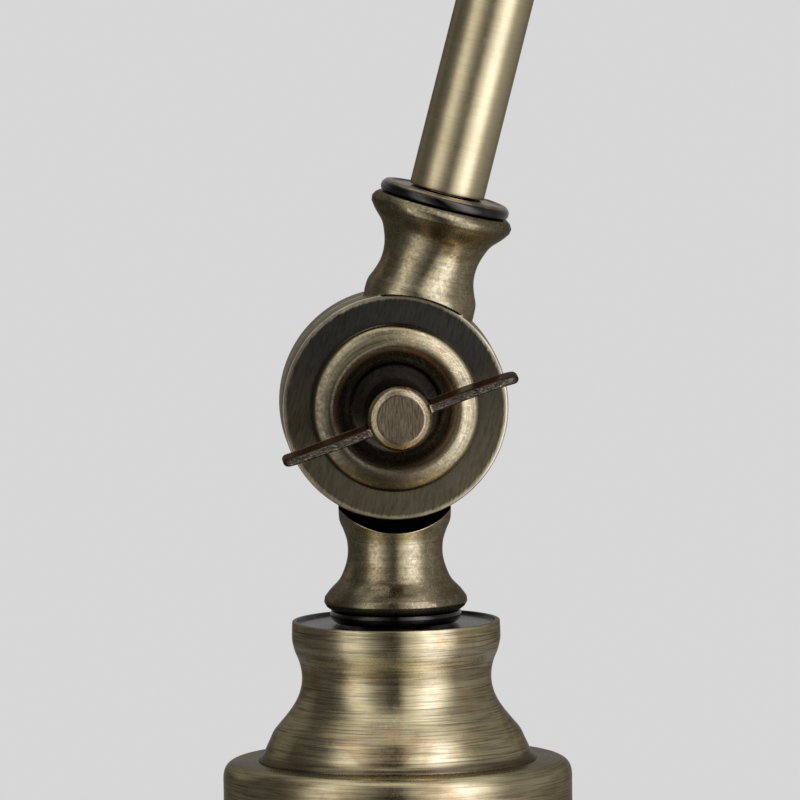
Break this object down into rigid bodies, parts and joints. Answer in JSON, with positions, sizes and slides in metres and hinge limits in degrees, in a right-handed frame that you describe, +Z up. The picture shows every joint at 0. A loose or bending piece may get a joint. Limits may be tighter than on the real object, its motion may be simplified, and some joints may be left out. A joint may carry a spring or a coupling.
{
  "type": "pharmacy floor lamp",
  "caption": "Adjustable floor lamp in antique brass: weighted round base, leaning pole and upper arm with wing-screw knuckles, and a tilting metal dome shade.",
  "frame": {"origin": "centre of the base's underside, on the floor", "axes": "+Z up along the base's axis; the knuckles turn about Y and their wing screws face -Y"},
  "size_m": [0.5351, 0.2819, 1.3434],
  "materials": {
    "antique_brass": "brushed, darkened with age, worn bright on edges",
    "dark_bronze": "dark bronzed, glossy, coppery on worn edges",
    "steel": "zinc plated",
    "cast_iron": "rough cast",
    "felt": "dense felt",
    "fibre": "red vulcanised fibre",
    "black_plastic": "moulded, matt",
    "ceramic": "glazed porcelain",
    "frosted_glass": "frosted inside",
    "wire_sleeve": "woven sleeve"
  },
  "bodies": {
    "base": {"felt_pad": "felt", "bottom_plate": "steel", "base_weight": "cast_iron", "base_cover": "antique_brass", "cord_gland": "black_plastic", "bell_collar": "antique_brass", "base_nipple": "steel", "base_lock_nut": "steel", "plate_screw_1": "steel", "plate_screw_2": "steel", "plate_screw_3": "steel", "bell_check_ring": "dark_bronze", "base_lead": "wire_sleeve", "lower_knuckle_rear_half": "antique_brass", "lower_knuckle_friction_disc": "fibre", "lower_knuckle_cap_nut": "dark_bronze"},
    "pole": {"lower_knuckle_front_half": "antique_brass", "lower_knuckle_clamp_ring": "antique_brass", "lower_knuckle_spring_washer": "steel", "pole_foot_ring": "dark_bronze", "pole_tube": "antique_brass", "pole_foot_nipple": "steel", "pole_top_nipple": "steel", "pole_top_ring": "dark_bronze", "pole_lead": "wire_sleeve", "middle_knuckle_rear_half": "antique_brass", "middle_knuckle_friction_disc": "fibre", "middle_knuckle_cap_nut": "dark_bronze"},
    "arm": {"middle_knuckle_front_half": "antique_brass", "middle_knuckle_clamp_ring": "antique_brass", "middle_knuckle_spring_washer": "steel", "arm_foot_ring": "dark_bronze", "arm_tube": "antique_brass", "arm_foot_nipple": "steel", "arm_top_nipple": "steel", "arm_top_ring": "dark_bronze", "arm_lead": "wire_sleeve", "shade_knuckle_rear_half": "antique_brass", "shade_knuckle_friction_disc": "fibre", "shade_knuckle_cap_nut": "dark_bronze"},
    "head": {"shade_knuckle_front_half": "antique_brass", "shade_knuckle_clamp_ring": "antique_brass", "shade_knuckle_spring_washer": "steel", "shade_check_ring": "dark_bronze", "head_nipple": "steel", "head_lead": "wire_sleeve", "shade": "antique_brass", "lampholder_shell": "black_plastic", "socket_base": "ceramic", "socket_sleeve": "antique_brass", "bulb_cap": "steel", "bulb_glass": "frosted_glass"},
    "lower_screw": {"lower_knuckle_wing_screw": "dark_bronze"},
    "middle_screw": {"middle_knuckle_wing_screw": "dark_bronze"},
    "shade_screw": {"shade_knuckle_wing_screw": "dark_bronze"},
    "switch": {"switch_knob": "dark_bronze"}
  },
  "joints": [
    {"name": "lower_tilt", "type": "hinge", "parent": "base", "child": "pole", "pos_m": [0, 0, 0.13135], "axis": [0, 1, 0], "range_deg": [-59.7, 30.3]},
    {"name": "middle_tilt", "type": "hinge", "parent": "pole", "child": "arm", "pos_m": [0.24107, 0, 1.05025], "axis": [0, 1, 0], "range_deg": [-52.3, 79.7]},
    {"name": "shade_tilt", "type": "hinge", "parent": "arm", "child": "head", "pos_m": [-0.08067, 0, 1.32023], "axis": [0, 1, 0], "range_deg": [-22, 80]},
    {"name": "lower_wing_screw_turn", "type": "hinge", "parent": "base", "child": "lower_screw", "pos_m": [0, 0, 0.13135], "axis": [0, -1, 0], "range_deg": [0, 270]},
    {"name": "middle_wing_screw_turn", "type": "hinge", "parent": "pole", "child": "middle_screw", "pos_m": [0.24107, 0, 1.05025], "axis": [0, -1, 0], "range_deg": [0, 270]},
    {"name": "shade_wing_screw_turn", "type": "hinge", "parent": "arm", "child": "shade_screw", "pos_m": [-0.08067, 0, 1.32023], "axis": [0, -1, 0], "range_deg": [0, 270]},
    {"name": "switch_turn", "type": "hinge", "parent": "head", "child": "switch", "pos_m": [-0.1145, 0, 1.27191], "axis": [0, -1, 0], "continuous": true}
  ]
}
